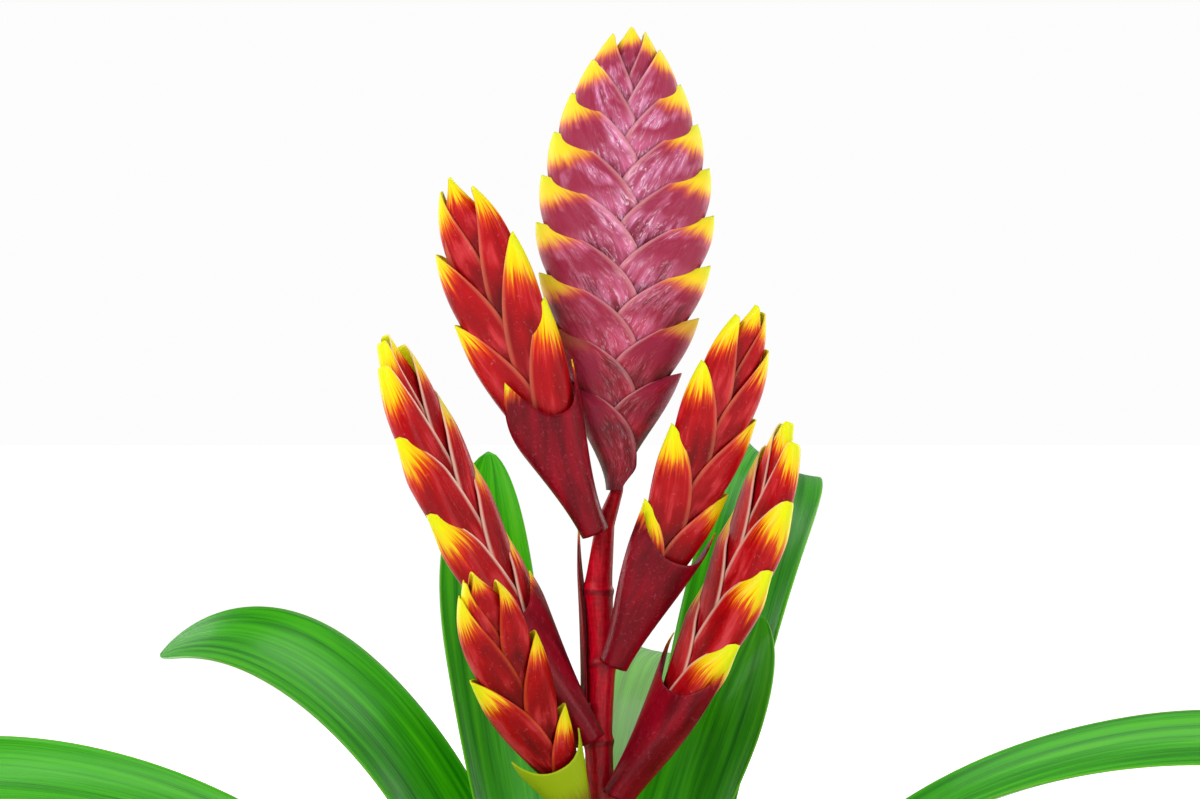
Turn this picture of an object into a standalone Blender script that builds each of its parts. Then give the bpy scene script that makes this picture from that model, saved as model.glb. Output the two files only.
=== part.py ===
"""A potted bromeliad with one large flower spike and five side spikes, in metres, +Z up.

The origin is the middle of the pot's flat underside. The front of the plant faces -Y. A turned pot holds
the potting mix, the root crown stands in the mix, and the strap leaves and the flower stalk rise from the
crown. The stalk carries folded bracts: separate solids on the main spike, one joined solid per side spike.
"""

import math

import bmesh
import bpy
import numpy as np
from mathutils import Vector

# --- driving dimensions ---------------------------------------------------------------------------------
GAP = 0.0003

POT_HEIGHT = 0.118
POT_RIM_RADIUS = 0.066
POT_BASE_RADIUS = 0.046
POT_WALL = 0.004
POT_FLOOR = 0.005
RIM_HEIGHT = 0.024
RIM_PROUD = 0.003
DRAIN_HOLES = 4
DRAIN_RADIUS = 0.0045
DRAIN_CIRCLE = 0.028

MIX_LEVEL = 0.106
CROWN_FOOT_Z = 0.066
CROWN_RADIUS = 0.0075
CROWN_TOP_Z = 0.136
STALK_RADIUS = 0.0044
STALK_TOP_RADIUS = 0.0015

SPIKE_FOOT = Vector((0.0055, 0.0, 0.314))
SPIKE_TOP = Vector((0.0100, 0.0, 0.462))

LEAF_THICKNESS = 0.0006
LEAF_STEP = 0.0014
INNER_LEAF_RADIUS = 0.0095
BRACT_THICKNESS = 0.00045

TURN_STEPS = 28

# From the lowest, outermost leaf to the innermost: azimuth, lean from upright at the foot and at the tip
# (degrees), how late the lean comes, length, half width, sideways swing and roll at the tip (degrees).
LEAVES = (
    (308, 61, 130, 0.9, 0.240, 0.0185, 8, 0),
    (18, 61, 128, 0.9, 0.235, 0.0180, -6, 0),
    (166, 61, 128, 0.9, 0.235, 0.0185, 6, 0),
    (241, 58, 128, 0.9, 0.245, 0.0185, -8, 0),
    (96, 60, 126, 0.9, 0.230, 0.0180, 5, 0),
    (325, 48, 118, 0.9, 0.255, 0.0185, 6, 0),
    (215, 47, 118, 0.9, 0.255, 0.0185, -6, 0),
    (272, 41, 114, 0.9, 0.250, 0.0185, 6, 0),
    (192, 27, 107, 1.05, 0.280, 0.0205, -6, -34),
    (352, 23, 113, 1.05, 0.300, 0.0200, 4, 30),
    (148, 23, 134, 2.1, 0.274, 0.0190, -4, -46),
    (80, 18, 120, 1.5, 0.262, 0.0185, 0, 0),
    (38, 16, 150, 3.6, 0.300, 0.0195, 34, 32),
    (262, 15, 30, 1.2, 0.085, 0.0150, 0, 0),
    (142, 15, 23, 1.2, 0.220, 0.0182, -24, -22),
    (42, 12, 25, 1.2, 0.163, 0.0195, -12, 42),
    (312, 9, 14, 1.2, 0.070, 0.0120, 0, 0),
)
LEAF_CENTRELINE_STEPS = 60
BLADE_CURVE_RADIUS = 0.036

STALK_LINE = (
    (0.0, 0.0, CROWN_TOP_Z + GAP),
    (0.0, 0.0, 0.180),
    (0.0003, 0.0, 0.216),
    (-0.0006, 0.0, 0.236),
    (0.0006, 0.0, 0.260),
    (-0.0006, 0.0, 0.283),
    (0.0016, 0.0, 0.303),
    tuple(SPIKE_FOOT),
)
RACHIS_SHARE = 0.79

# Azimuth (degrees), foot and tip height and half angle (degrees) of each bract on the stalk itself.
STALK_BRACTS = (
    (60, 0.146, 0.196, 62),
    (300, 0.168, 0.205, 60),
    (172, 0.246, 0.303, 50),
)

# How the bracts of a spike bunch towards its top, and how a sheath stands off them and wraps round.
BUNCHING = 1.35
WIDEST_SHARE = 0.555
SHEATH_GAP = 0.0020
SHEATH_WRAP = 155


# --- scene helpers --------------------------------------------------------------------------------------
def clear_scene():
    for obj in list(bpy.data.objects):
        bpy.data.objects.remove(obj)


def new_collection(name):
    collection = bpy.data.collections.new(name)
    bpy.context.scene.collection.children.link(collection)
    return collection


def principled(name, colour, roughness):
    material = bpy.data.materials.new(name)
    material.use_nodes = True
    shader = material.node_tree.nodes["Principled BSDF"]
    shader.inputs["Base Color"].default_value = (*colour, 1.0)
    shader.inputs["Roughness"].default_value = roughness
    shader.inputs["Metallic"].default_value = 0.0
    return material


def add_mesh(name, mesh, collection, material):
    obj = bpy.data.objects.new(name, mesh)
    collection.objects.link(obj)
    if material is not None:
        mesh.materials.append(material)
    return obj


def hide_tool(obj):
    obj.hide_render = True
    obj.display_type = "WIRE"


def turned(name, profile, collection, material):
    """A solid turned about Z from a profile of (radius, height) that runs down its outer side."""
    mesh = bpy.data.meshes.new(name)
    points = [(r, 0.0, z) for r, z in profile]
    mesh.from_pydata(points, [(i, i + 1) for i in range(len(points) - 1)], [])
    obj = add_mesh(name, mesh, collection, material)
    screw = obj.modifiers.new("turn", "SCREW")
    screw.steps = TURN_STEPS
    screw.render_steps = TURN_STEPS
    screw.use_merge_vertices = True
    screw.merge_threshold = 0.0001
    return obj


def sheet(name, place, across, along, thickness, collection, material):
    """A grid bent by place(u, v), u from -1 to 1 across and v from 0 to 1 along, given a thickness."""
    bm = bmesh.new()
    bmesh.ops.create_grid(bm, x_segments=across, y_segments=along, size=1.0)
    for vert in bm.verts:
        vert.co = place(vert.co.x, (vert.co.y + 1) / 2)
    mesh = bpy.data.meshes.new(name)
    bm.to_mesh(mesh)
    bm.free()
    obj = add_mesh(name, mesh, collection, material)
    solidify = obj.modifiers.new("thickness", "SOLIDIFY")
    solidify.thickness = thickness
    solidify.offset = 0.0
    mesh.shade_smooth()
    return obj


def ease(low, high, value):
    """0 below low, 1 above high, and a smooth rise between."""
    t = min(1.0, max(0.0, (value - low) / (high - low)))
    return t * t * (3 - 2 * t)


# --- pot, potting mix and root crown --------------------------------------------------------------------
def pot_inner_radius(z):
    """The pot's inside tapers from under the rim to the floor."""
    slope = (POT_RIM_RADIUS - RIM_PROUD - POT_BASE_RADIUS) / POT_HEIGHT
    return POT_BASE_RADIUS - POT_WALL + slope * z


def make_pot(collection, tools, material):
    under_rim = POT_HEIGHT - RIM_HEIGHT
    wall_top = pot_inner_radius(under_rim) + POT_WALL
    profile = [
        (0.0, POT_FLOOR),
        (pot_inner_radius(POT_FLOOR), POT_FLOOR),
        (pot_inner_radius(POT_HEIGHT - 0.002), POT_HEIGHT - 0.002),
        (pot_inner_radius(POT_HEIGHT) + 0.0015, POT_HEIGHT),
        (POT_RIM_RADIUS - 0.002, POT_HEIGHT),
        (POT_RIM_RADIUS, POT_HEIGHT - 0.002),
        (POT_RIM_RADIUS - 0.001, under_rim + 0.002),
        (POT_RIM_RADIUS - 0.003, under_rim),
        (wall_top, under_rim - 0.0005),
        (POT_BASE_RADIUS + 0.0004, 0.003),
        (POT_BASE_RADIUS - 0.002, 0.0),
        (0.0, 0.0),
    ]
    pot = turned("pot", profile, collection, material)
    for hole in range(DRAIN_HOLES):
        angle = 2 * math.pi * (hole + 0.5) / DRAIN_HOLES
        place = (DRAIN_CIRCLE * math.cos(angle), DRAIN_CIRCLE * math.sin(angle), POT_FLOOR / 2)
        bpy.ops.mesh.primitive_cylinder_add(
            vertices=16, radius=DRAIN_RADIUS, depth=3 * POT_FLOOR, location=place
        )
        cutter = bpy.context.object
        cutter.name = f"drain_cutter_{hole + 1}"
        for old in cutter.users_collection:
            old.objects.unlink(cutter)
        tools.objects.link(cutter)
        hide_tool(cutter)
        cut = pot.modifiers.new(f"drain_{hole + 1}", "BOOLEAN")
        cut.operation = "DIFFERENCE"
        cut.object = cutter


def crown_radius(z):
    """The root crown swells under the mix and narrows to the stalk's foot."""
    swell = ease(CROWN_FOOT_Z, CROWN_FOOT_Z + 0.014, z)
    narrow = ease(MIX_LEVEL, CROWN_TOP_Z, z)
    return CROWN_RADIUS * (0.35 + 0.65 * swell) - (CROWN_RADIUS - STALK_RADIUS - 0.0006) * narrow


def make_crown(collection, material):
    heights = np.linspace(CROWN_TOP_Z, CROWN_FOOT_Z, 9)
    profile = [(0.0, CROWN_TOP_Z)]
    profile += [(crown_radius(z), z) for z in heights]
    profile += [(0.0, CROWN_FOOT_Z)]
    turned("root_crown", profile, collection, material)


def make_mix(collection, material):
    """The mix fills the pot and has a socket that follows the root crown."""
    socket = [
        (crown_radius(z) + 2 * GAP, z) for z in np.linspace(CROWN_FOOT_Z + 0.003, MIX_LEVEL, 5)
    ]
    foot = POT_FLOOR + GAP
    profile = [
        (0.0, CROWN_FOOT_Z - 0.001),
        (socket[0][0], CROWN_FOOT_Z - 0.001),
        *socket,
        (pot_inner_radius(MIX_LEVEL) - 0.010, MIX_LEVEL),
        (pot_inner_radius(MIX_LEVEL - 0.002) - 2 * GAP, MIX_LEVEL - 0.002),
        (pot_inner_radius(foot) - 2 * GAP, foot),
        (0.0, foot),
    ]
    turned("potting_mix", profile, collection, material)


# --- leaves ---------------------------------------------------------------------------------------------
def leaf_foot(index):
    """(radius, height) where a leaf's sheath starts, outermost first."""
    inward = len(LEAVES) - 1 - index
    return INNER_LEAF_RADIUS + LEAF_STEP * inward, MIX_LEVEL + 0.0008 + 0.0007 * index


def leaf_centreline(index):
    """Radius and height of the leaf's middle, and its lean, at even steps from foot to tip."""
    _, lean_foot, lean_tip, late, length, _, _, _ = LEAVES[index]
    radius, height = leaf_foot(index)
    along = np.linspace(0.0, 1.0, LEAF_CENTRELINE_STEPS + 1)
    lean = np.radians(lean_foot + (lean_tip - lean_foot) * along**late)
    step = length / LEAF_CENTRELINE_STEPS
    middle = (lean[1:] + lean[:-1]) / 2
    radii = radius + np.concatenate([[0], np.cumsum(np.sin(middle) * step)])
    heights = height + np.concatenate([[0], np.cumsum(np.cos(middle) * step)])
    return along, radii, heights, lean


def leaf_half_width(v, half_width, foot_radius):
    """A clasping sheath, an even blade and a pointed, rounded tip."""
    sheath = min(1.05 * foot_radius, 0.021)
    blade = sheath + (half_width - sheath) * ease(0.0, 0.36, v)
    closing = max(0.0, (v - 0.66) / 0.34)
    return blade * (1 - closing**2.1) ** 0.72 + 0.0008


def leaf_place(index):
    """A function from (u, v) to the leaf's surface point."""
    azimuth, _, _, _, _, half_width, swing, roll = LEAVES[index]
    along, radii, heights, lean = leaf_centreline(index)
    foot_radius = radii[0]

    def place(u, v):
        radius = np.interp(v, along, radii)
        height = np.interp(v, along, heights)
        tilt = np.interp(v, along, lean) * ease(0.018, 0.046, radius)
        width = leaf_half_width(v, half_width, foot_radius)
        curve = min(radius, BLADE_CURVE_RADIUS + 0.012 * v)
        angle = u * width / curve
        side = curve * math.sin(angle)
        rise = curve * (1 - math.cos(angle))
        turn = math.radians(roll) * v**1.5
        side, rise = (
            side * math.cos(turn) - rise * math.sin(turn),
            side * math.sin(turn) + rise * math.cos(turn),
        )
        out = radius - rise * math.cos(tilt)
        up = height + rise * math.sin(tilt)
        heading = math.radians(azimuth + swing * v * v)
        return (
            out * math.cos(heading) - side * math.sin(heading),
            out * math.sin(heading) + side * math.cos(heading),
            up,
        )

    return place


def make_leaves(collection, material):
    for index in range(len(LEAVES)):
        name = f"leaf_{index + 1:02d}"
        sheet(name, leaf_place(index), 4, 10, LEAF_THICKNESS, collection, material)


# --- flower stalk ---------------------------------------------------------------------------------------
def stalk_radius(z):
    taper = ease(SPIKE_FOOT.z - 0.03, SPIKE_FOOT.z + 0.01, z)
    return STALK_RADIUS + (STALK_TOP_RADIUS - STALK_RADIUS) * taper


def make_stalk(collection, material):
    rachis_end = SPIKE_FOOT.lerp(SPIKE_TOP, RACHIS_SHARE)
    points = [*STALK_LINE, tuple(SPIKE_FOOT.lerp(SPIKE_TOP, RACHIS_SHARE / 2)), tuple(rachis_end)]
    line = bpy.data.curves.new("flower_stalk", "CURVE")
    line.dimensions = "3D"
    line.bevel_depth = 1.0
    line.bevel_resolution = 2
    line.use_fill_caps = True
    spline = line.splines.new("POLY")
    spline.points.add(len(points) - 1)
    for point, co in zip(spline.points, points):
        point.co = (*co, 1.0)
        point.radius = stalk_radius(co[2])
    obj = bpy.data.objects.new("flower_stalk", line)
    collection.objects.link(obj)
    line.materials.append(material)


def make_stalk_bracts(collection, material):
    for index, (azimuth, foot, tip, half_angle) in enumerate(STALK_BRACTS):

        def place(u, v):
            z = foot + (tip - foot) * v
            radius = stalk_radius(z) + 0.0016 + 0.0022 * v * v
            angle = math.radians(azimuth + u * (half_angle * (1 - v**2.2) + 4))
            return radius * math.cos(angle), radius * math.sin(angle), z

        sheet(f"stalk_bract_{index + 1}", place, 4, 5, BRACT_THICKNESS, collection, material)


# --- bracts of a flower spike ---------------------------------------------------------------------------
class Spike:
    """A flattened spike of folded bracts in two ranks, with the lowest bract outermost.

    Its own frame has Z along the rachis, X across the flat side and Y through it. Bract k starts at
    node k, and even bracts are on the lead side. The keel of each bract follows the spike's outline,
    and each layer lies one step of depth outside the next, so that no two bracts meet.
    """

    def __init__(
        self, foot, top, roll, bow, lead, reach, first_tip, pairs, lag, blade, layer, core,
        sheath_tip=0, face=0,
    ):
        self.foot = Vector(foot)
        self.sheath_tip = sheath_tip
        self.face = math.radians(face)
        axis = Vector(top) - self.foot
        self.length = axis.length
        self.axis = axis.normalized()
        across = Vector((0, 1, 0)).cross(self.axis).normalized()
        through = self.axis.cross(across)
        turn = math.radians(roll)
        self.across = across * math.cos(turn) + through * math.sin(turn)
        self.through = self.axis.cross(self.across)
        self.bow = across * bow
        self.lead = lead
        self.reach = reach
        self.blade = blade
        self.layer = layer
        self.core = core
        self.tips = self.tip_heights(first_tip, pairs, lag)
        self.nodes = self.node_heights()

    def tip_heights(self, first_tip, pairs, lag):
        """The tips of the two ranks in turn, closer together towards the top."""
        tips = []
        for pair in range(pairs):
            share = 1 - (1 - pair / (pairs - 0.5)) ** BUNCHING
            height = first_tip + (self.length - first_tip) * share
            tips += [height, min(height + lag, self.length - 0.0015)]
        return [*tips, self.length]

    def node_heights(self):
        """Where the bracts start, from the foot of the spike to the last one's share below its top."""
        last = self.length - 0.82 * self.blade
        count = len(self.tips)
        return [last * (1 - (1 - k / (count - 1)) ** 1.12) for k in range(count)]

    def outline(self, z):
        """Half width of the spike at a height above its foot."""
        widest = WIDEST_SHARE * self.length
        span = self.length - widest if z > widest else widest
        rest = 1.2 * self.core
        power = 2.0 if z > widest else 1.6
        return rest + (self.reach - rest) * max(0.0, 1 - abs((z - widest) / span) ** power)

    def depth(self, z, k):
        """Half depth of bract k at a height: one layer for each node passed since its own."""
        passed = np.interp(z, self.nodes, range(len(self.nodes))) - k
        return self.core + self.layer * passed

    def section(self, k, v):
        """Height, keel distance, folded width, edge rounding and half depth of bract k at v."""
        z = self.nodes[k] + (self.tips[k] - self.nodes[k]) * v
        late = ease(len(self.tips) - 3.2, len(self.tips) - 1, k)
        hug = 2.5 - 0.9 * k / (len(self.tips) - 1)
        outline = self.outline(z)
        keel = self.core + ((1 - 0.74 * late) * outline - self.core) * (1 - (1 - v) ** hug)
        slim = 1 - ease(len(self.tips) - 7, len(self.tips) - 2, k)
        overlap = (0.3 * self.core + 0.15 * self.reach * ease(0.0, 0.25, v)) * slim
        width = (keel + overlap) * min(1.0, (1 - v) / 0.68) ** 1.1 + 0.0008
        rounding = 0.5 * self.core + 0.36 * (outline - self.core)
        half_depth = self.depth(z, k) * (1 - 0.6 * slim * ease(0.78, 1.0, v))
        return z, keel, width, rounding, half_depth

    def place(self, k):
        """A function from (u, v) to bract k's surface, keel at u = 0 and margins at u = -1 and 1."""
        side = self.lead if k % 2 == 0 else -self.lead

        def place(u, v):
            z, keel, width, rounding, half_depth = self.section(k, v)
            inset = abs(u) ** 1.5 * width
            bend = max(0.0, 1 - inset / rounding)
            y = math.copysign(half_depth * math.sqrt(1 - bend * bend), u) if u else 0.0
            return self.to_world(side * (keel - inset), y, z)

        return place

    def sheath_place(self, u, v):
        """The sheath wraps the lowest bracts and ends in a point on the side it faces."""
        z = 0.0004 + self.sheath_tip * v
        passed = (z - self.nodes[0]) / (self.tips[0] - self.nodes[0])
        _, keel, _, _, half_depth = self.section(0, min(0.93, passed))
        wide = keel + SHEATH_GAP
        deep = 1.2 * half_depth + SHEATH_GAP
        angle = self.face + math.radians(SHEATH_WRAP) * u * (1 - v**3.2 + 0.02)
        sine, cosine = math.sin(angle), math.cos(angle)
        stretch = (abs(sine) ** 2.6 + abs(cosine) ** 2.6) ** (-1 / 2.6)
        return self.to_world(wide * sine * stretch, -deep * cosine * stretch, z)

    def rachis_place(self, u, v):
        angle = u * math.pi * 7 / 8
        radius = self.core * (0.62 - 0.3 * v)
        z = 0.8 * self.length * v
        return self.to_world(radius * math.sin(angle), radius * math.cos(angle), z)

    def to_world(self, x, y, z):
        share = z / self.length
        swayed = self.foot + self.bow * (4 * share * (1 - share))
        return swayed + self.across * x + self.through * y + self.axis * z


MAIN_SPIKE = Spike(
    foot=SPIKE_FOOT, top=SPIKE_TOP, roll=4, bow=0.0, lead=-1, reach=0.0285, first_tip=0.034,
    pairs=9, lag=0.004, blade=0.043, layer=0.00095, core=0.0034,
)
SIDE_SPIKES = {
    "left_upper": Spike(
        foot=(-0.0014, -0.0076, 0.3005), top=(-0.0469, -0.0240, 0.4121), roll=-8, bow=-0.0015,
        lead=1, reach=0.0150, first_tip=0.076, pairs=3, lag=0.002, blade=0.054,
        layer=0.00075, core=0.0022, sheath_tip=0.056, face=-12,
    ),
    "right_upper": Spike(
        foot=(0.0040, -0.0081, 0.2585), top=(0.0491, -0.0200, 0.3724), roll=22, bow=0.0015,
        lead=-1, reach=0.0135, first_tip=0.054, pairs=4, lag=0.010, blade=0.048,
        layer=0.0007, core=0.0022, sheath_tip=0.052, face=45,
    ),
    "left_middle": Spike(
        foot=(-0.0028, -0.0085, 0.2345), top=(-0.0679, -0.0120, 0.3632), roll=52, bow=-0.0040,
        lead=1, reach=0.0145, first_tip=0.074, pairs=4, lag=0.014, blade=0.056,
        layer=0.0007, core=0.0022, sheath_tip=0.058, face=-35,
    ),
    "left_front": Spike(
        foot=(-0.0046, -0.0070, 0.2080), top=(-0.0389, -0.0450, 0.2901), roll=10, bow=-0.0020,
        lead=1, reach=0.0125, first_tip=0.042, pairs=3, lag=0.022, blade=0.042,
        layer=0.0007, core=0.0022, sheath_tip=0.034, face=-45,
    ),
    "right_lower": Spike(
        foot=(0.0053, -0.0070, 0.2165), top=(0.0598, -0.0150, 0.3357), roll=-58, bow=0.0060,
        lead=1, reach=0.0150, first_tip=0.062, pairs=4, lag=0.012, blade=0.052,
        layer=0.0007, core=0.0022, sheath_tip=0.054, face=70,
    ),
}


def make_main_bracts(collection, material):
    for k in range(len(MAIN_SPIKE.tips)):
        name = f"main_spike_bract_{k + 1:02d}"
        sheet(name, MAIN_SPIKE.place(k), 6, 7, BRACT_THICKNESS, collection, material)


def filled_sheet(name, place, across, along, collection):
    """The same surface as a sheet, closed across its margins and at both ends into a solid."""
    bm = bmesh.new()
    rows = []
    for j in range(along + 1):
        row = [bm.verts.new(place(-1 + 2 * i / across, j / along)) for i in range(across + 1)]
        rows.append(row)
    for low, high in zip(rows, rows[1:]):
        for i in range(across + 1):
            following = (i + 1) % (across + 1)
            bm.faces.new((low[i], low[following], high[following], high[i]))
    bm.faces.new(rows[0])
    bm.faces.new(rows[-1])
    bmesh.ops.recalc_face_normals(bm, faces=bm.faces)
    mesh = bpy.data.meshes.new(name)
    bm.to_mesh(mesh)
    bm.free()
    return add_mesh(name, mesh, collection, None)


def make_side_spike(name, spike, collection, tools, material):
    """The bracts of a side spike joined with its rachis, all inside the sheath at its foot."""
    bracts = bpy.data.collections.new(f"{name}_bracts")
    tools.children.link(bracts)
    for k in range(len(spike.tips)):
        hide_tool(filled_sheet(f"{name}_bract_{k + 1}", spike.place(k), 4, 6, bracts))
    rachis = filled_sheet(name, spike.rachis_place, 7, 4, collection)
    rachis.data.materials.append(material)
    join = rachis.modifiers.new("bracts", "BOOLEAN")
    join.operation = "UNION"
    join.operand_type = "COLLECTION"
    join.collection = bracts


def make_side_spikes(collection, tools, material):
    for name, spike in SIDE_SPIKES.items():
        make_side_spike(f"side_spike_{name}", spike, collection, tools, material)
        sheet(f"sheath_{name}", spike.sheath_place, 8, 6, BRACT_THICKNESS, collection, material)


def main():
    clear_scene()
    plant = new_collection("potted_bromeliad")
    tools = new_collection("cutters")
    clay = principled("clay", (0.56, 0.25, 0.14), 0.8)
    mix = principled("potting_mix", (0.06, 0.035, 0.02), 0.95)
    leaf = principled("leaf", (0.05, 0.27, 0.01), 0.3)
    stem = principled("stem", (0.45, 0.01, 0.03), 0.35)
    bract = principled("bract", (0.5, 0.02, 0.06), 0.3)
    make_pot(plant, tools, clay)
    make_mix(plant, mix)
    make_crown(plant, leaf)
    make_leaves(plant, leaf)
    make_stalk(plant, stem)
    make_stalk_bracts(plant, bract)
    make_main_bracts(plant, bract)
    make_side_spikes(plant, tools, bract)


main()
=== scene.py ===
# %% [markdown]
# # A potted bromeliad
# The measured model is loaded first and never moved. Every piece below is made in metres in its frame,
# with +Z up and the front of the plant facing -Y, so a piece only has to repeat the rule of its shape.

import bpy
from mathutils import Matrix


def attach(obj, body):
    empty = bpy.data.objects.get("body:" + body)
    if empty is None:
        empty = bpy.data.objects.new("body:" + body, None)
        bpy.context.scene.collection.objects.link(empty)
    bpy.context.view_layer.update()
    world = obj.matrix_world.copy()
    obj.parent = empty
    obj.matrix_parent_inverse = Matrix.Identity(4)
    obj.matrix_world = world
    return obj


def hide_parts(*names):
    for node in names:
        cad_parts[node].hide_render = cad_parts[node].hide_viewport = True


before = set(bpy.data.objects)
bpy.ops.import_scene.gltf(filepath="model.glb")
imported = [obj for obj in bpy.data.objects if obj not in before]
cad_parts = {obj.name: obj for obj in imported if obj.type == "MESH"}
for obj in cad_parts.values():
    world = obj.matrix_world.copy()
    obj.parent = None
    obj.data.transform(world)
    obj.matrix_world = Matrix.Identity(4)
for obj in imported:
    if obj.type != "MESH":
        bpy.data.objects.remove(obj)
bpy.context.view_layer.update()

# %% Libraries
import math

import bmesh
import bpy
import numpy as np
from mathutils import Vector

# %% [markdown]
# ## Camera, floor and light
# A long lens level with the flower keeps the spikes from leaning. The floor and the world are nearly
# white, as in a product studio, and large soft panels give the glossy leaves their long highlights.
# The world is dimmer as a light than as a backdrop, so that the panels shape the colours.

# %% Camera
camera = bpy.data.objects.new("camera", bpy.data.cameras.new("camera"))
bpy.context.scene.collection.objects.link(camera)
camera.location = (0.0, -0.9, 0.343)
camera.rotation_euler = (math.radians(90), 0, 0)
camera.data.sensor_width = 36
camera.data.lens = 84.375
bpy.context.scene.camera = camera

# %% Soft panels
PANELS = (
    # name, place, aimed at, width, height, power
    ("key_panel", (-1.1, -1.1, 1.5), (0, 0, 0.28), 1.0, 1.0, 27),
    ("fill_panel", (1.6, -0.9, 0.9), (0, 0, 0.28), 1.0, 1.4, 15),
    ("top_panel", (0.1, 0.5, 1.9), (0, 0, 0.25), 1.8, 1.0, 16),
    ("left_rim_panel", (-1.5, 1.2, 0.7), (0, 0, 0.28), 0.7, 1.6, 14),
    ("right_rim_panel", (1.4, 1.3, 0.8), (0, 0, 0.28), 0.7, 1.6, 14),
)
for name, place, aim, width, height, power in PANELS:
    lamp = bpy.data.lights.new(name, "AREA")
    lamp.shape = "RECTANGLE"
    lamp.size, lamp.size_y, lamp.energy = width, height, power
    panel = bpy.data.objects.new(name, lamp)
    bpy.context.scene.collection.objects.link(panel)
    panel.location = place
    panel.rotation_euler = (Vector(aim) - Vector(place)).to_track_quat("-Z", "Y").to_euler()
bpy.context.scene.view_settings.view_transform = "Standard"
print(len(PANELS), "panels")

# %% [markdown]
# ## Writing finishes as formulas
# A finish is easier to read as a formula than as a drawing of nodes. One small class wraps a node's
# output: adding or multiplying two of them adds the Math node, and one method makes any other node.

# %% The value class
class Value:
    """An output of a shader node; arithmetic on it adds Math nodes."""

    def __init__(self, tree, socket=None):
        self.tree, self.socket = tree, socket

    def node(self, kind, settings=None, inputs=None, output=0):
        """Any node: its settings first, then the values or links of its sockets."""
        made = self.tree.nodes.new(kind)
        for name, value in (settings or {}).items():
            if name == "stops":
                ramp = made.color_ramp
                while len(ramp.elements) < len(value):
                    ramp.elements.new(0.5)
                for element, (place, colour) in zip(ramp.elements, value):
                    element.position, element.color = place, colour
            else:
                setattr(made, name, value)
        for name, value in (inputs or {}).items():
            if isinstance(value, Value):
                self.tree.links.new(value.socket, made.inputs[name])
            else:
                made.inputs[name].default_value = value
        return Value(self.tree, made.outputs[output]) if len(made.outputs) else None

    def math(self, operation, first, second=0.0):
        return self.node("ShaderNodeMath", {"operation": operation}, {0: first, 1: second})

    def __add__(self, other):
        return self.math("ADD", self, other)

    def __sub__(self, other):
        return self.math("SUBTRACT", self, other)

    def __rsub__(self, other):
        return self.math("SUBTRACT", other, self)

    def __mul__(self, other):
        return self.math("MULTIPLY", self, other)

    __radd__, __rmul__ = __add__, __mul__

    def __abs__(self):
        return self.math("ABSOLUTE", self)

    def power(self, exponent):
        return self.math("POWER", self, exponent)

    def step(self, low, high):
        """0 below low, 1 above high, smooth between."""
        return self.node(
            "ShaderNodeMapRange", {"interpolation_type": "SMOOTHSTEP"},
            {"Value": self, "From Min": low, "From Max": high},
        )

    def tint(self, below, above):
        """The colour below where this value is 0 and the colour above where it is 1."""
        return self.node(
            "ShaderNodeMix", {"data_type": "RGBA", "clamp_factor": True},
            {0: self, 6: below, 7: above}, output=2,
        )


# %% Colours and finish helpers
def paint(red, green, blue):
    """A linear colour from the 0 to 255 shades of a paint chart."""
    linear = [((c / 255 + 0.055) / 1.055) ** 2.4 if c > 10 else c / 3294.6 for c in (red, green, blue)]
    return (*linear, 1.0)


def new_finish(name):
    """A material with an empty tree, and a Value to start its formulas from."""
    material = bpy.data.materials.new(name)
    material.use_nodes = True
    material.node_tree.nodes.clear()
    return material, Value(material.node_tree)


def grain(start, vector, scale, detail=3.0, roughness=0.5, distortion=0.0):
    return start.node(
        "ShaderNodeTexNoise", {"noise_dimensions": "3D"},
        {"Vector": vector, "Scale": scale, "Detail": detail, "Roughness": roughness,
         "Distortion": distortion},
    )


def vector_of(start, x, y, z):
    return start.node("ShaderNodeCombineXYZ", None, {0: x, 1: y, 2: z})


def close_finish(start, colour, roughness, height, bump, coat=0.0, **uniform):
    """The surface shader: what varies is linked, what is the same all over is set on its socket."""
    normal = start.node("ShaderNodeBump", None, {"Height": height, "Strength": bump, "Distance": 0.001})
    inputs = {"Base Color": colour, "Roughness": roughness, "Normal": normal, "Coat Weight": coat}
    inputs.update({name.replace("_", " ").title().replace("Ior", "IOR"): value for name, value in uniform.items()})
    shader = start.node("ShaderNodeBsdfPrincipled", None, inputs)
    start.node("ShaderNodeOutputMaterial", None, {"Surface": shader})


def blade_coordinates(start):
    """Across (0 at the middle, 1 at the margins), signed across, along (0 foot, 1 tip), shade, pale."""
    uv = start.node("ShaderNodeUVMap", {"uv_map": "blade"})
    signed = start.node("ShaderNodeSeparateXYZ", None, {0: uv}, 0) * 2.0 - 1.0
    along = start.node("ShaderNodeSeparateXYZ", None, {0: uv}, 1)
    shade = start.node("ShaderNodeAttribute", {"attribute_name": "shade"}, None, 2)
    pale = start.node("ShaderNodeAttribute", {"attribute_name": "pale"}, None, 2)
    return abs(signed), signed, along, shade, pale


# %% [markdown]
# ## Floor and world
# The floor is matt and almost white with a faint mottle. Away from the plant it has a little glow of
# its own, so that it stays as white as the backdrop where the panels don't reach. The world shows white to the camera and
# gives a weaker light, which a Light Path node sorts.

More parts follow.
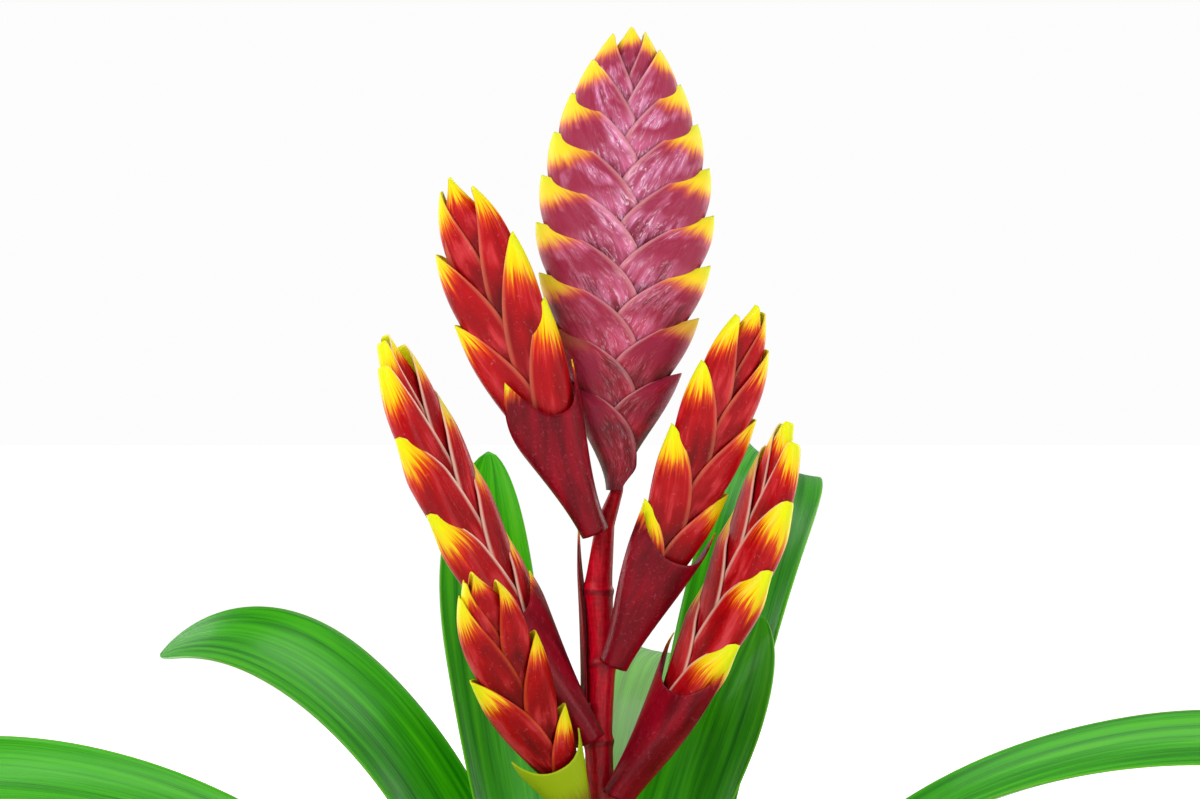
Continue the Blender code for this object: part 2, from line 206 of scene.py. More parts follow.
# %% Floor and world
floor_finish, start = new_finish("pale_floor")
place = start.node("ShaderNodeTexCoord", None, None, 3)
mottle = grain(start, place, 3.0)
away = start.node("ShaderNodeVectorMath", {"operation": "LENGTH"}, {0: place}, 1)
glow = away.step(0.3, 1.6).tint((0.12, 0.12, 0.12, 1.0), (1.0, 1.0, 1.0, 1.0))
close_finish(
    start, mottle.tint(paint(252, 252, 252), paint(255, 255, 255)), 0.9, mottle, 0.02,
    emission_color=glow, emission_strength=0.74,
)
floor_mesh = bpy.data.meshes.new("floor")
floor_mesh.from_pydata([(-20, -20, 0), (20, -20, 0), (20, 20, 0), (-20, 20, 0)], [], [(0, 1, 2, 3)])
floor_mesh.materials.append(floor_finish)
floor = bpy.data.objects.new("floor", floor_mesh)
bpy.context.scene.collection.objects.link(floor)
world = bpy.data.worlds.new("studio")
bpy.context.scene.world = world
world.use_nodes = True
world.node_tree.nodes.clear()
sky = Value(world.node_tree)
seen = sky.node("ShaderNodeLightPath", None, None, 0)
strength = seen * 0.68 + 0.30
light = sky.node("ShaderNodeBackground", None, {"Color": (1, 1, 1, 1), "Strength": strength})
sky.node("ShaderNodeOutputWorld", None, {"Surface": light})

# %% [markdown]
# ## Thin blades
# Leaves and bracts are thin curved sheets. Each is a fine grid bent by a rule place(u, v), with u from
# margin to margin and v from foot to tip. The grid keeps (u, v) as its UV map, which the finishes
# follow, and Solidify gives it its thickness.

# %% Helpers for blades
def ease(low, high, value):
    t = min(1.0, max(0.0, (value - low) / (high - low)))
    return t * t * (3 - 2 * t)


def add_piece(name, mesh, finish, nodes):
    """A piece that stands for the named solids of the measured model."""
    mesh.materials.clear()
    mesh.materials.append(finish)
    piece = bpy.data.objects.new(name, mesh)
    bpy.context.scene.collection.objects.link(piece)
    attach(piece, "root")
    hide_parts(*nodes)
    return piece


def blade_mesh(name, blades, across, along, reached=lambda u, v: v):
    """One mesh of several bent grids; blades holds (place, shade, pale) of each. reached(u, v) is the
    share of the blade's height that the finish reads, where a margin isn't level."""
    points, faces, uvs, shades, pales = [], [], [], [], []
    for place, shade, pale in blades:
        base = len(points)
        for j in range(along + 1):
            for i in range(across + 1):
                u, v = 2 * i / across - 1, j / along
                points.append(place(u, v))
                uvs.append(((u + 1) / 2, reached(u, v)))
                shades.append(shade)
                pales.append(pale)
        for j in range(along):
            for i in range(across):
                a = base + j * (across + 1) + i
                faces.append((a, a + 1, a + across + 2, a + across + 1))
    mesh = bpy.data.meshes.new(name)
    mesh.from_pydata([tuple(p) for p in points], [], faces)
    layer = mesh.uv_layers.new(name="blade")
    corner_points = np.empty(len(mesh.loops), int)
    mesh.loops.foreach_get("vertex_index", corner_points)
    layer.data.foreach_set("uv", np.array(uvs)[corner_points].ravel())
    for key, values in (("shade", shades), ("pale", pales)):
        mesh.attributes.new(key, "FLOAT", "POINT").data.foreach_set("value", values)
    mesh.shade_smooth()
    return mesh


def thicken(piece, thickness):
    solid = piece.modifiers.new("thickness", "SOLIDIFY")
    solid.thickness, solid.offset = thickness, 0.0


chance = np.random.default_rng(7)

# %% [markdown]
# ## The leaf finish
# A bromeliad leaf is leathery and glossy. Its green has fine lengthwise veins, slow yellowish patches
# and a thin pale margin, and the veins also lift the surface a little, which draws its highlights out
# into streaks.

# %% Leaf finish
leaf_finish, start = new_finish("glossy_leaf")
across, signed, along, shade, pale = blade_coordinates(start)
fine = grain(start, vector_of(start, signed * 26.0, along * 1.6, shade * 9.0), 2.0, 3.0, 0.6)
broad = grain(start, vector_of(start, signed * 5.0, along * 2.2, shade * 5.0), 1.4, 3.0, 0.5)
cross = grain(start, vector_of(start, signed * 4.0, along * 60.0, shade * 3.0), 1.0, 2.0, 0.5)
green = (broad * 0.7 + fine * 0.3 + shade * 0.12).step(0.34, 0.70)
colour = green.tint(paint(14, 104, 0), paint(56, 164, 0))
colour = ((broad + fine * 0.35 - 0.05).step(0.66, 0.95) * 0.6).tint(colour, paint(84, 166, 14))
colour = (fine.step(0.55, 0.76) * 0.18).tint(colour, paint(70, 160, 40))
colour = (across.step(0.955, 1.0) * 0.45).tint(colour, paint(120, 180, 50))
colour = (pale * 0.7).tint(colour, paint(160, 196, 128))
colour = ((1 - along.step(0.0, 0.22)) * 0.75).tint(colour, paint(190, 214, 140))
gloss = 0.17 + fine * 0.16 + broad * 0.06
close_finish(
    start, colour, gloss, fine * 0.9 + cross * 0.16, 0.16, coat=0.05,
    coat_roughness=0.08, specular_ior_level=0.15,
)

# %% [markdown]
# ## Leaves
# The leaves stand in a spiral round the stalk, the lowest and outermost first. Each leans out by a rule
# of its own from its foot to its tip. The middle line is summed in small steps of that lean, and the
# blade is bent round it: a clasping sheath below, an even strap, and a rounded point.

# %% Leaf table
# azimuth, lean at foot and tip, how late it comes, length, half width, swing, roll, pale side
LEAVES = (
    (308, 61, 130, 0.9, 0.240, 0.0185, 8, 0, 0.0),
    (18, 61, 128, 0.9, 0.235, 0.0180, -6, 0, 0.0),
    (166, 61, 128, 0.9, 0.235, 0.0185, 6, 0, 0.0),
    (241, 58, 128, 0.9, 0.245, 0.0185, -8, 0, 0.0),
    (96, 60, 126, 0.9, 0.230, 0.0180, 5, 0, 0.0),
    (325, 48, 118, 0.9, 0.255, 0.0185, 6, 0, 0.0),
    (215, 47, 118, 0.9, 0.255, 0.0185, -6, 0, 0.0),
    (272, 41, 114, 0.9, 0.250, 0.0185, 6, 0, 0.0),
    (192, 27, 107, 1.05, 0.280, 0.0205, -6, -34, 0.0),
    (352, 23, 113, 1.05, 0.300, 0.0200, 4, 30, 0.0),
    (148, 23, 134, 2.1, 0.274, 0.0190, -4, -46, 0.0),
    (80, 18, 120, 1.5, 0.262, 0.0185, 0, 0, 0.6),
    (38, 16, 150, 3.6, 0.300, 0.0195, 34, 32, 0.0),
    (262, 15, 30, 1.2, 0.085, 0.0150, 0, 0, 0.0),
    (142, 15, 23, 1.2, 0.220, 0.0182, -24, -22, 0.0),
    (42, 12, 25, 1.2, 0.163, 0.0195, -12, 42, 0.0),
    (312, 9, 14, 1.2, 0.070, 0.0120, 0, 0, 0.0),
)
MIX_LEVEL = 0.106
LEAF_STEPS = 60


# %% The leaf's rule
def leaf_place(index):
    azimuth, lean_foot, lean_tip, late, length, half_width, swing, roll, _ = LEAVES[index]
    trim = 0.915 if index == 10 else 1.0
    foot_radius = 0.0095 + 0.0014 * (len(LEAVES) - 1 - index)
    steps = np.linspace(0.0, 1.0, LEAF_STEPS + 1)
    lean = np.radians(lean_foot + (lean_tip - lean_foot) * steps**late)
    middle = (lean[1:] + lean[:-1]) / 2
    step = length / LEAF_STEPS
    radii = foot_radius + np.concatenate([[0], np.cumsum(np.sin(middle) * step)])
    heights = MIX_LEVEL + 0.0008 + 0.0007 * index
    heights = heights + np.concatenate([[0], np.cumsum(np.cos(middle) * step)])

    def place(u, w):
        v = w * trim
        radius = np.interp(v, steps, radii)
        height = np.interp(v, steps, heights)
        tilt = np.interp(v, steps, lean) * ease(0.018, 0.046, radius)
        sheath = min(1.05 * foot_radius, 0.021)
        width = sheath + (half_width - sheath) * ease(0.0, 0.36, v)
        closing = max(0.0, (w - 0.66) / 0.34)
        width = width * (1 - closing**2.3) ** 0.66 + 0.0004
        curve = min(radius, 0.036 + 0.012 * v)
        angle = u * width / curve
        side, rise = curve * math.sin(angle), curve * (1 - math.cos(angle))
        turn = math.radians(roll) * v**1.5
        side, rise = (
            side * math.cos(turn) - rise * math.sin(turn),
            side * math.sin(turn) + rise * math.cos(turn),
        )
        ripple = 0.0005 * u * u * math.sin(17 * v + 2 * index) * ease(0.1, 0.4, v) * (1 - v)
        rise += ripple
        out = radius - rise * math.cos(tilt)
        up = height + rise * math.sin(tilt)
        heading = math.radians(azimuth + swing * v * v)
        return (
            out * math.cos(heading) - side * math.sin(heading),
            out * math.sin(heading) + side * math.cos(heading),
            up,
        )

    return place


# %% Make the leaves
for index in range(len(LEAVES)):
    name = f"leaf_{index + 1:02d}"
    mesh = blade_mesh(
        f"{name}_blade", [(leaf_place(index), chance.random(), LEAVES[index][8])], 26, 120
    )
    thicken(add_piece(f"{name}_blade", mesh, leaf_finish, [name]), 0.0006)
print(len(LEAVES), "leaves")

# %% [markdown]
# ## Bract finishes
# The bracts are waxy. On the side spikes they are crimson and turn orange and then yellow towards the
# tip, with a ragged, streaky change, a thin bright margin and painted glints. On the main spike the
# upper bracts turn mauve, partly their own colour and partly painted sheen, and a painted pink-white
# sheen with fine painted crumpled glints lies over the crimson in place of reflections on the wax. The
# painted sheen thins out towards the foot of the spike.

# %% Side bract finish
side_finish, start = new_finish("side_bract")
across, signed, along, shade, pale = blade_coordinates(start)
place = start.node("ShaderNodeTexCoord", None, None, 3)
streak = grain(start, vector_of(start, signed * 7.0, along * 1.8, shade * 31.0), 2.2, 4.0, 0.62)
patch = grain(start, vector_of(start, signed * 1.6, along * 2.4, shade * 17.0), 1.6, 2.0, 0.5)
wrinkle = grain(start, place, 950.0, 3.0, 0.6, 0.8)
ragged = along + (streak - 0.5) * 0.30 - across * 0.06 + (shade - 0.5) * 0.08
body = (along * 0.55 + patch * 0.75 - 0.1).step(0.20, 0.85)
colour = body.tint(paint(78, 0, 6), paint(178, 2, 12))
colour = (patch + streak * 0.4).step(0.72, 0.98).tint(colour, paint(196, 52, 58))
colour = ragged.step(0.71, 0.80).tint(colour, paint(210, 62, 12))
colour = ragged.step(0.77, 0.86).tint(colour, paint(236, 196, 8))
colour = (ragged.step(0.83, 0.95) * 0.9).tint(colour, paint(214, 222, 8))
edge = across.step(0.90, 0.985) * along.step(0.25, 0.55)
colour = (edge * 0.35).tint(colour, paint(214, 90, 30))
colour = (edge * pale * 0.7).tint(colour, paint(240, 214, 196))
glint = wrinkle.step(0.60, 0.80) * 0.18
colour = glint.tint(colour, paint(238, 170, 170))
close_finish(
    start, colour, 0.27 + wrinkle * 0.16, wrinkle * 0.5 + streak * 0.6, 0.22, coat=0.04,
    coat_roughness=0.12, specular_ior_level=0.12,
)

# %% Main bract finish
main_finish, start = new_finish("main_bract")
across, signed, along, shade, pale = blade_coordinates(start)
place = start.node("ShaderNodeTexCoord", None, None, 3)
height = start.node("ShaderNodeSeparateXYZ", None, {0: place}, 2)
streak = grain(start, vector_of(start, signed * 6.0, along * 1.6, shade * 31.0), 2.2, 4.0, 0.62)
patch = grain(start, vector_of(start, signed * 1.5, along * 2.4, shade * 17.0), 1.6, 2.0, 0.5)
crease = grain(start, vector_of(start, signed * 16.0, along * 7.0, shade * 23.0), 1.5, 5.0, 0.66, 1.4)
wrinkle = grain(start, place, 1300.0, 3.0, 0.6, 0.8)
ragged = along + (streak - 0.5) * 0.16 - across * 0.10 + (shade - 0.5) * 0.05
# The upper part of the spike turns mauve, partly the bracts' own colour and partly painted sheen; the painted sheen
# and painted glints below are stronger there too.
high = (height + (patch - 0.5) * 0.05).step(0.345, 0.412)
# Darker towards each bract's foot: partly the bract's own deeper crimson, partly painted shade where the bract above
# overlaps it; also darker towards the keel and in patches.
body = (patch * 0.8 + streak * 0.4 + along * 0.35 + across * 0.12).step(0.62, 1.06)
low_colour = body.tint(paint(92, 0, 10), paint(172, 0, 34))
mauve_and_painted_sheen_colour = body.tint(paint(120, 10, 46), paint(204, 96, 136))
colour = high.tint(low_colour, mauve_and_painted_sheen_colour)
# Painted sheen: pink-white streaks that stand in for reflections on the waxy surface, stronger up the spike.
painted_sheen = streak.step(0.42, 0.66) * (0.08 + high * 0.58)
colour = (painted_sheen * across.step(0.05, 0.7)).tint(colour, paint(222, 148, 190))
glint = crease.step(0.52, 0.66) * across.step(0.20, 0.80) * (0.16 + high * 0.54)
colour = glint.tint(colour, paint(244, 214, 230))
blush = ragged.step(0.40, 0.60) * patch.step(0.38, 0.52) * 0.9
colour = blush.tint(colour, paint(140, 6, 48))
colour = (ragged.step(0.70, 0.80) * pale).tint(colour, paint(216, 90, 50))
colour = (ragged.step(0.74, 0.84) * pale).tint(colour, paint(236, 206, 14))
colour = (ragged.step(0.82, 0.95) * pale * 0.9).tint(colour, paint(214, 220, 10))
edge = across.step(0.92, 0.99) * along.step(0.25, 0.5)
colour = (edge * 0.35).tint(colour, paint(236, 170, 170))
close_finish(
    start, colour, 0.30 + wrinkle * 0.16, crease * 0.8 + wrinkle * 0.3 + streak * 0.4, 0.40, coat=0.06,
    coat_roughness=0.15, specular_ior_level=0.24,
)

# %% [markdown]
# ## Flower spikes
# A spike is flat: its bracts are folded over the keel and stand in two ranks, the lowest outermost. All
# bracts of a spike follow one outline, so one rule serves the large spike and the five side spikes.

# %% The spike's rule
class Spike:
    """Its own frame has Z along the stem, X across the flat side and Y through it."""

    def __init__(self, foot, top, roll, bow, lead, reach, first_tip, pairs, lag, blade, layer, core,
                 sheath_tip=0, face=0):
        self.foot, self.sheath_tip, self.face = Vector(foot), sheath_tip, math.radians(face)
        axis = Vector(top) - self.foot
        self.length, self.axis = axis.length, axis.normalized()
        across = Vector((0, 1, 0)).cross(self.axis).normalized()
        through = self.axis.cross(across)
        turn = math.radians(roll)
        self.across = across * math.cos(turn) + through * math.sin(turn)
        self.through = self.axis.cross(self.across)
        self.bow = across * bow
        self.lead, self.reach, self.layer, self.core = lead, reach, layer, core
        self.fullness = 3.2 if sheath_tip else 2.2
        self.tips = []
        for pair in range(pairs):
            share = 1 - (1 - pair / (pairs - 0.5)) ** 1.35
            height = first_tip + (self.length - first_tip) * share
            self.tips += [height, min(height + lag, self.length - 0.0015)]
        self.tips.append(self.length)
        last, count = self.length - 0.82 * blade, len(self.tips)
        self.nodes = [last * (1 - (1 - k / (count - 1)) ** 1.12) for k in range(count)]

    def outline(self, z):
        widest = 0.555 * self.length
        span = self.length - widest if z > widest else widest
        rest, power = 1.2 * self.core, self.fullness if z > widest else 1.6
        return rest + (self.reach - rest) * max(0.0, 1 - abs((z - widest) / span) ** power)

    def section(self, k, v):
        """Height, keel distance, folded width, edge rounding and half depth of bract k at v."""
        z = self.nodes[k] + (self.tips[k] - self.nodes[k]) * v
        count = len(self.tips)
        late = ease(count - 3.2, count - 1, k)
        hug = 2.5 - 0.9 * k / (count - 1)
        outline = self.outline(z)
        keel = self.core + ((1 - 0.25 * late) * outline - self.core) * (1 - (1 - v) ** hug)
        slim = 1 - ease(count - 7, count - 2, k)
        overlap = (0.3 * self.core + 0.15 * self.reach * ease(0.0, 0.25, v)) * (0.5 + 0.5 * slim)
        width = (keel + overlap) * (1 - max(0.0, (v - 0.25) / 0.75) ** 2.3) ** 0.85 + 0.0003
        rounding = 0.5 * self.core + 0.36 * (outline - self.core)
        if k == count - 1:
            width = 1.45 * outline * (1 - max(0.0, (v - 0.3) / 0.7) ** 2.8) ** 0.75 + 0.0003
            keel = width / 2
        depth = self.core + self.layer * (np.interp(z, self.nodes, range(count)) - k)
        return z, keel, width, rounding, depth * (1 - 0.6 * slim * ease(0.78, 1.0, v))

    def bract(self, k):
        side = self.lead if k % 2 == 0 else -self.lead

        def place(u, v):
            z, keel, width, rounding, half_depth = self.section(k, v)
            inset = abs(u) ** 1.5 * width
            bend = max(0.0, 1 - inset / rounding)
            y = math.copysign(half_depth * math.sqrt(1 - bend * bend), u) if u else 0.0
            return self.to_world(side * (keel - inset), y, z)

        return place

    def sheath(self, low, high, notch):
        """The wrap goes nearly all round at its foot and from turn low to turn high at its top edge,
        which rises to a point at each margin, above a notch."""

        def place(u, v):
            close = v**0.75
            turn = 165 * u * (1 - close) + ((high + low) / 2 + u * (high - low) / 2) * close
            return self.wrapped(math.radians(turn), 0.0004 + self.sheath_tip * self.rise(u, v, notch))

        return place

    def rise(self, u, v, notch):
        return v * (notch + (1 - notch) * abs(u) ** 2.5 * (0.9 if u > 0 else 1.0))

    def wrapped(self, angle, z):
        passed = (z - self.nodes[0]) / (self.tips[0] - self.nodes[0])
        _, keel, _, _, half_depth = self.section(0, min(0.93, passed))
        sine, cosine = math.sin(angle), math.cos(angle)
        stretch = (abs(sine) ** 2.6 + abs(cosine) ** 2.6) ** (-1 / 2.6)
        wide, deep = (keel + 0.0020) * stretch, (1.2 * half_depth + 0.0020) * stretch
        return self.to_world(wide * sine, -deep * cosine, z)

    def to_world(self, x, y, z):
        share = z / self.length
        swayed = self.foot + self.bow * (4 * share * (1 - share))
        return swayed + self.across * x + self.through * y + self.axis * z


# %% The six spikes
SPIKE_FOOT, SPIKE_TOP = Vector((0.0055, 0.0, 0.314)), Vector((0.0100, 0.0, 0.462))
MAIN_SPIKE = Spike(
    SPIKE_FOOT, SPIKE_TOP, roll=4, bow=0.0, lead=-1, reach=0.0285, first_tip=0.034,
    pairs=9, lag=0.004, blade=0.043, layer=0.00095, core=0.0034,
)
SIDE_SPIKES = {
    "left_upper": (Spike(
        (-0.0014, -0.0076, 0.3005), (-0.0469, -0.0240, 0.4121), -8, -0.0015, 1, 0.0150, 0.076,
        3, 0.002, 0.054, 0.00075, 0.0022, 0.056, -12), 0.1),
    "right_upper": (Spike(
        (0.0040, -0.0081, 0.2585), (0.0491, -0.0200, 0.3724), 22, 0.0015, -1, 0.0135, 0.054,
        4, 0.010, 0.048, 0.0007, 0.0022, 0.052, 45), 0.1),
    "left_middle": (Spike(
        (-0.0028, -0.0085, 0.2345), (-0.0679, -0.0120, 0.3632), 52, -0.0040, 1, 0.0145, 0.074,
        4, 0.014, 0.056, 0.0007, 0.0022, 0.058, -35), 0.75),
    "left_front": (Spike(
        (-0.0046, -0.0070, 0.2080), (-0.0389, -0.0450, 0.2901), 10, -0.0020, 1, 0.0125, 0.042,
        3, 0.022, 0.042, 0.0007, 0.0022, 0.034, -45), 0.0),
    "right_lower": (Spike(
        (0.0053, -0.0070, 0.2165), (0.0598, -0.0150, 0.3357), -58, 0.0060, 1, 0.0150, 0.062,
        4, 0.012, 0.052, 0.0007, 0.0022, 0.054, 70), 0.7),
}

# %% Make the main spike's bracts
for k in range(len(MAIN_SPIKE.tips)):
    name = f"main_spike_bract_{k + 1:02d}"
    mesh = blade_mesh(f"{name}_fold", [(MAIN_SPIKE.bract(k), chance.random(), ease(1.5, 4.5, k))], 44, 60)
    thicken(add_piece(f"{name}_fold", mesh, main_finish, [name]), 0.00045)

# %% Make the side spikes' bracts
for key, (spike, pale_margin) in SIDE_SPIKES.items():
    blades = [(spike.bract(k), chance.random(), pale_margin) for k in range(len(spike.tips))]
    mesh = blade_mesh(f"side_spike_{key}_folds", blades, 36, 56)
    piece = add_piece(f"side_spike_{key}_folds", mesh, side_finish, [f"side_spike_{key}"])
    thicken(piece, 0.00045)
    print(key, len(blades), "bracts")

# %% [markdown]
# ## Sheaths
# Each side spike grows out of a broad bract that wraps its foot. It is the same waxy tissue, mostly
# crimson, with only its point turning yellow.

# %% Sheath finish
sheath_finish, start = new_finish("sheath_bract")
across, signed, along, shade, pale = blade_coordinates(start)
place = start.node("ShaderNodeTexCoord", None, None, 3)
streak = grain(start, vector_of(start, signed * 9.0, along * 1.5, shade * 31.0), 2.2, 4.0, 0.62)
patch = grain(start, vector_of(start, signed * 2.0, along * 1.5, shade * 17.0), 1.8, 2.0, 0.5)
wrinkle = grain(start, place, 800.0, 3.0, 0.6, 1.0)
ragged = along + (streak - 0.5) * 0.22
body = (patch * 0.8 + streak * 0.3).step(0.30, 0.80)
colour = body.tint(paint(84, 0, 10), paint(142, 0, 26))
# Painted glints: a lighter pink tint on the wrinkles stands in for small highlights.
colour = (wrinkle.step(0.56, 0.76) * 0.22).tint(colour, paint(216, 90, 120))
colour = ragged.step(0.86, 0.95).tint(colour, paint(206, 80, 20))
colour = ragged.step(0.92, 1.0).tint(colour, paint(214, 206, 30))
green_part = pale * ragged.step(0.15, 0.55)
colour = green_part.tint(colour, paint(158, 176, 22))
close_finish(
    start, colour, 0.26 + wrinkle * 0.16, wrinkle * 0.5 + streak * 0.7, 0.22, coat=0.04,
    coat_roughness=0.12, specular_ior_level=0.12,
)

# %% Make the sheaths
# How far each sheath's top edge goes round, in degrees from the front, and how deep its notch is
SHEATH_EDGES = {
    "left_upper": (-20, 84, 0.72),
    "right_upper": (-62, 88, 0.74),
    "left_middle": (-84, 30, 0.80),
    "left_front": (-60, 70, 0.74),
    "right_lower": (-60, 86, 0.72),
}
for key, (spike, _) in SIDE_SPIKES.items():
    green = 1.0 if key == "left_front" else 0.0
    wrap = spike.sheath(*SHEATH_EDGES[key])
    mesh = blade_mesh(
        f"sheath_{key}_wrap", [(wrap, chance.random(), green)], 96, 40,
        lambda u, v: spike.rise(u, v, SHEATH_EDGES[key][2]),
    )
    thicken(add_piece(f"sheath_{key}_wrap", mesh, sheath_finish, [f"sheath_{key}"]), 0.00045)

# %% Bracts on the stalk itself
def stalk_radius(z):
    return 0.0044 + (0.0015 - 0.0044) * ease(SPIKE_FOOT.z - 0.03, SPIKE_FOOT.z + 0.01, z)


STALK_BRACTS = ((60, 0.146, 0.196, 62, 1.0), (300, 0.168, 0.205, 60, 1.0), (172, 0.246, 0.303, 50, 0.0))
for index, (azimuth, foot, tip, half_angle, green) in enumerate(STALK_BRACTS):

    def stalk_bract(u, v):
        z = foot + (tip - foot) * v
        radius = stalk_radius(z) + 0.0016 + 0.0022 * v * v
        angle = math.radians(azimuth + u * (half_angle * (1 - v**2.2) + 4))
        return radius * math.cos(angle), radius * math.sin(angle), z

    name = f"stalk_bract_{index + 1}"
    mesh = blade_mesh(f"{name}_blade", [(stalk_bract, chance.random(), green)], 24, 40)
    thicken(add_piece(f"{name}_blade", mesh, sheath_finish, [name]), 0.00045)

# %% [markdown]
# ## Flower stalk
# The stalk is a red stem with a ring at each joint. It follows a path, so a Geometry Nodes tree sweeps
# a circle along that path. The tree swells the radius near two heights, which are named inputs.

# %% Stem finish
stem_finish, start = new_finish("red_stem")
place = start.node("ShaderNodeTexCoord", None, None, 3)
height = start.node("ShaderNodeSeparateXYZ", None, {0: place}, 2)
squeezed = start.node("ShaderNodeMapping", None, {"Vector": place, "Scale": (1.0, 1.0, 0.16)})
stretched = start.node("ShaderNodeMapping", None, {"Vector": place, "Scale": (0.3, 0.3, 1.0)})
vein = grain(start, squeezed, 1500.0, 3.0, 0.6)
band = grain(start, stretched, 900.0, 3.0, 0.6)
colour = (vein * 0.6 + band * 0.4).step(0.36, 0.66).tint(paint(150, 0, 20), paint(206, 4, 34))
for joint in (0.2335, 0.2585, 0.2815):
    line = 1 - abs(height - joint).step(0.0003, 0.0014)
    colour = (line * 0.7).tint(colour, paint(96, 8, 18))
colour = (1 - height.step(0.150, 0.225)).tint(colour, paint(150, 170, 40))
close_finish(
    start, colour, 0.28 + vein * 0.14, vein * 0.5 + band * 0.5, 0.25, coat=0.05, coat_roughness=0.15,
    specular_ior_level=0.2,
)


# %% A tree of geometry nodes
def new_tree(name, sizes):
    """A geometry tree with a geometry input and output and named float or integer inputs."""
    tree = bpy.data.node_groups.new(name, "GeometryNodeTree")
    tree.interface.new_socket("Geometry", in_out="INPUT", socket_type="NodeSocketGeometry")
    tree.interface.new_socket("Geometry", in_out="OUTPUT", socket_type="NodeSocketGeometry")
    for key, value in sizes.items():
        kind = "NodeSocketInt" if isinstance(value, int) else "NodeSocketFloat"
        socket = tree.interface.new_socket(key, in_out="INPUT", socket_type=kind)
        socket.default_value = value
    entry = tree.nodes.new("NodeGroupInput")
    values = {key: Value(tree, entry.outputs[key]) for key in ("Geometry", *sizes)}
    return tree, Value(tree), values


def end_tree(start, geometry, finish):
    """Realize Instances, Set Material and the output."""
    real = start.node("GeometryNodeRealizeInstances", None, {"Geometry": geometry})
    done = start.node("GeometryNodeSetMaterial", None, {"Geometry": real, "Material": finish})
    start.node("NodeGroupOutput", None, {"Geometry": done})


def grown(name, source, tree, sizes):
    """The plain mesh that a tree makes from a source object, which is then removed."""
    bpy.context.scene.collection.objects.link(source)
    modifier = source.modifiers.new("rule", "NODES")
    modifier.node_group = tree
    for item in tree.interface.items_tree:
        if item.item_type == "SOCKET" and item.in_out == "INPUT" and item.name in sizes:
            modifier[item.identifier] = sizes[item.name]
    bpy.context.view_layer.update()
    evaluated = source.evaluated_get(bpy.context.evaluated_depsgraph_get())
    mesh = bpy.data.meshes.new_from_object(evaluated)
    mesh.name = name
    bpy.data.objects.remove(source)
    print(name, len(mesh.polygons), "faces")
    return mesh


def outward(mesh, merge=0.00001):
    """Doubles merged and faces turned outwards."""
    bm = bmesh.new()
    bm.from_mesh(mesh)
    bmesh.ops.remove_doubles(bm, verts=bm.verts, dist=merge)
    bmesh.ops.recalc_face_normals(bm, faces=bm.faces)
    bm.to_mesh(mesh)
    bm.free()
    mesh.shade_smooth()
    return mesh


# %% Grow the stalk along its path
stem_sizes = {"Joint 1": 0.2335, "Joint 2": 0.2585, "Joint 3": 0.2815, "Swell": 0.16, "Sides": 40}
tree, start, sizes = new_tree("swept_stem", stem_sizes)
fine_path = start.node(
    "GeometryNodeResampleCurve", {"mode": "COUNT"}, {"Curve": sizes["Geometry"], "Count": 420}
)
where = start.node("GeometryNodeInputPosition")
level = start.node("ShaderNodeSeparateXYZ", None, {0: where}, 2)
swelling = None
for joint in ("Joint 1", "Joint 2", "Joint 3"):
    near = abs(level - sizes[joint]) * 700.0
    ring = start.math("DIVIDE", 1.0, near * near + 1.0)
    swelling = ring if swelling is None else swelling + ring
radius = start.node("GeometryNodeInputRadius") * (1 + swelling * sizes["Swell"])
shaped = start.node("GeometryNodeSetCurveRadius", None, {"Curve": fine_path, "Radius": radius})
circle = start.node("GeometryNodeCurvePrimitiveCircle", None, {"Resolution": sizes["Sides"], "Radius": 1.0})
swept_inputs = {"Curve": shaped, "Profile Curve": circle, "Fill Caps": True}
probe = tree.nodes.new("GeometryNodeCurveToMesh")
scale_socket = next((s.name for s in probe.inputs if s.name == "Scale"), None)
tree.nodes.remove(probe)
if scale_socket:
    swept_inputs[scale_socket] = start.node("GeometryNodeInputRadius")
end_tree(start, start.node("GeometryNodeCurveToMesh", None, swept_inputs), stem_finish)

rachis = [SPIKE_FOOT.lerp(SPIKE_TOP, share) for share in (0.0, 0.395, 0.79)]
stem_path = [(0, 0, 0.1363), (0, 0, 0.180), (0.0003, 0, 0.216), (-0.0006, 0, 0.236), (0.0006, 0, 0.260),
             (-0.0006, 0, 0.283), (0.0016, 0, 0.303), *[tuple(p) for p in rachis]]
line = bpy.data.curves.new("stem_path", "CURVE")
line.dimensions = "3D"
spline = line.splines.new("POLY")
spline.points.add(len(stem_path) - 1)
for point, co in zip(spline.points, stem_path):
    point.co, point.radius = (*co, 1.0), stalk_radius(co[2])
mesh = grown("flower_stalk_stem", bpy.data.objects.new("stem_path", line), tree, stem_sizes)
stem = add_piece("flower_stalk_stem", outward(mesh), stem_finish, ["flower_stalk"])

# %% [markdown]
# ## Pot and root crown
# Both are turned shapes, so a Geometry Nodes tree turns a profile about the upright axis: it takes a
# flat grid, reads the profile for each row and turns each column by its own angle. The pot is fired
# clay with a few lime blooms and throwing rings.

# %% Clay finish
clay_finish, start = new_finish("fired_clay")
place = start.node("ShaderNodeTexCoord", None, None, 3)
height = start.node("ShaderNodeSeparateXYZ", None, {0: place}, 2)
speckle = grain(start, place, 900.0, 3.0, 0.7)
cloud = grain(start, place, 22.0, 4.0, 0.6)
rings = grain(start, start.node("ShaderNodeMapping", None, {"Vector": place, "Scale": (2.0, 2.0, 260.0)}), 1.0)
colour = cloud.step(0.35, 0.68).tint(paint(158, 84, 54), paint(192, 112, 76))
colour = (speckle.step(0.60, 0.74) * 0.5).tint(colour, paint(120, 62, 42))
colour = (cloud.step(0.56, 0.74) * speckle.step(0.40, 0.60) * 0.55).tint(colour, paint(222, 204, 188))
colour = ((1 - height.step(0.0, 0.016)) * 0.4).tint(colour, paint(112, 62, 44))
close_finish(start, colour, 0.78 + speckle * 0.14, speckle * 0.3 + rings * 0.7, 0.30)

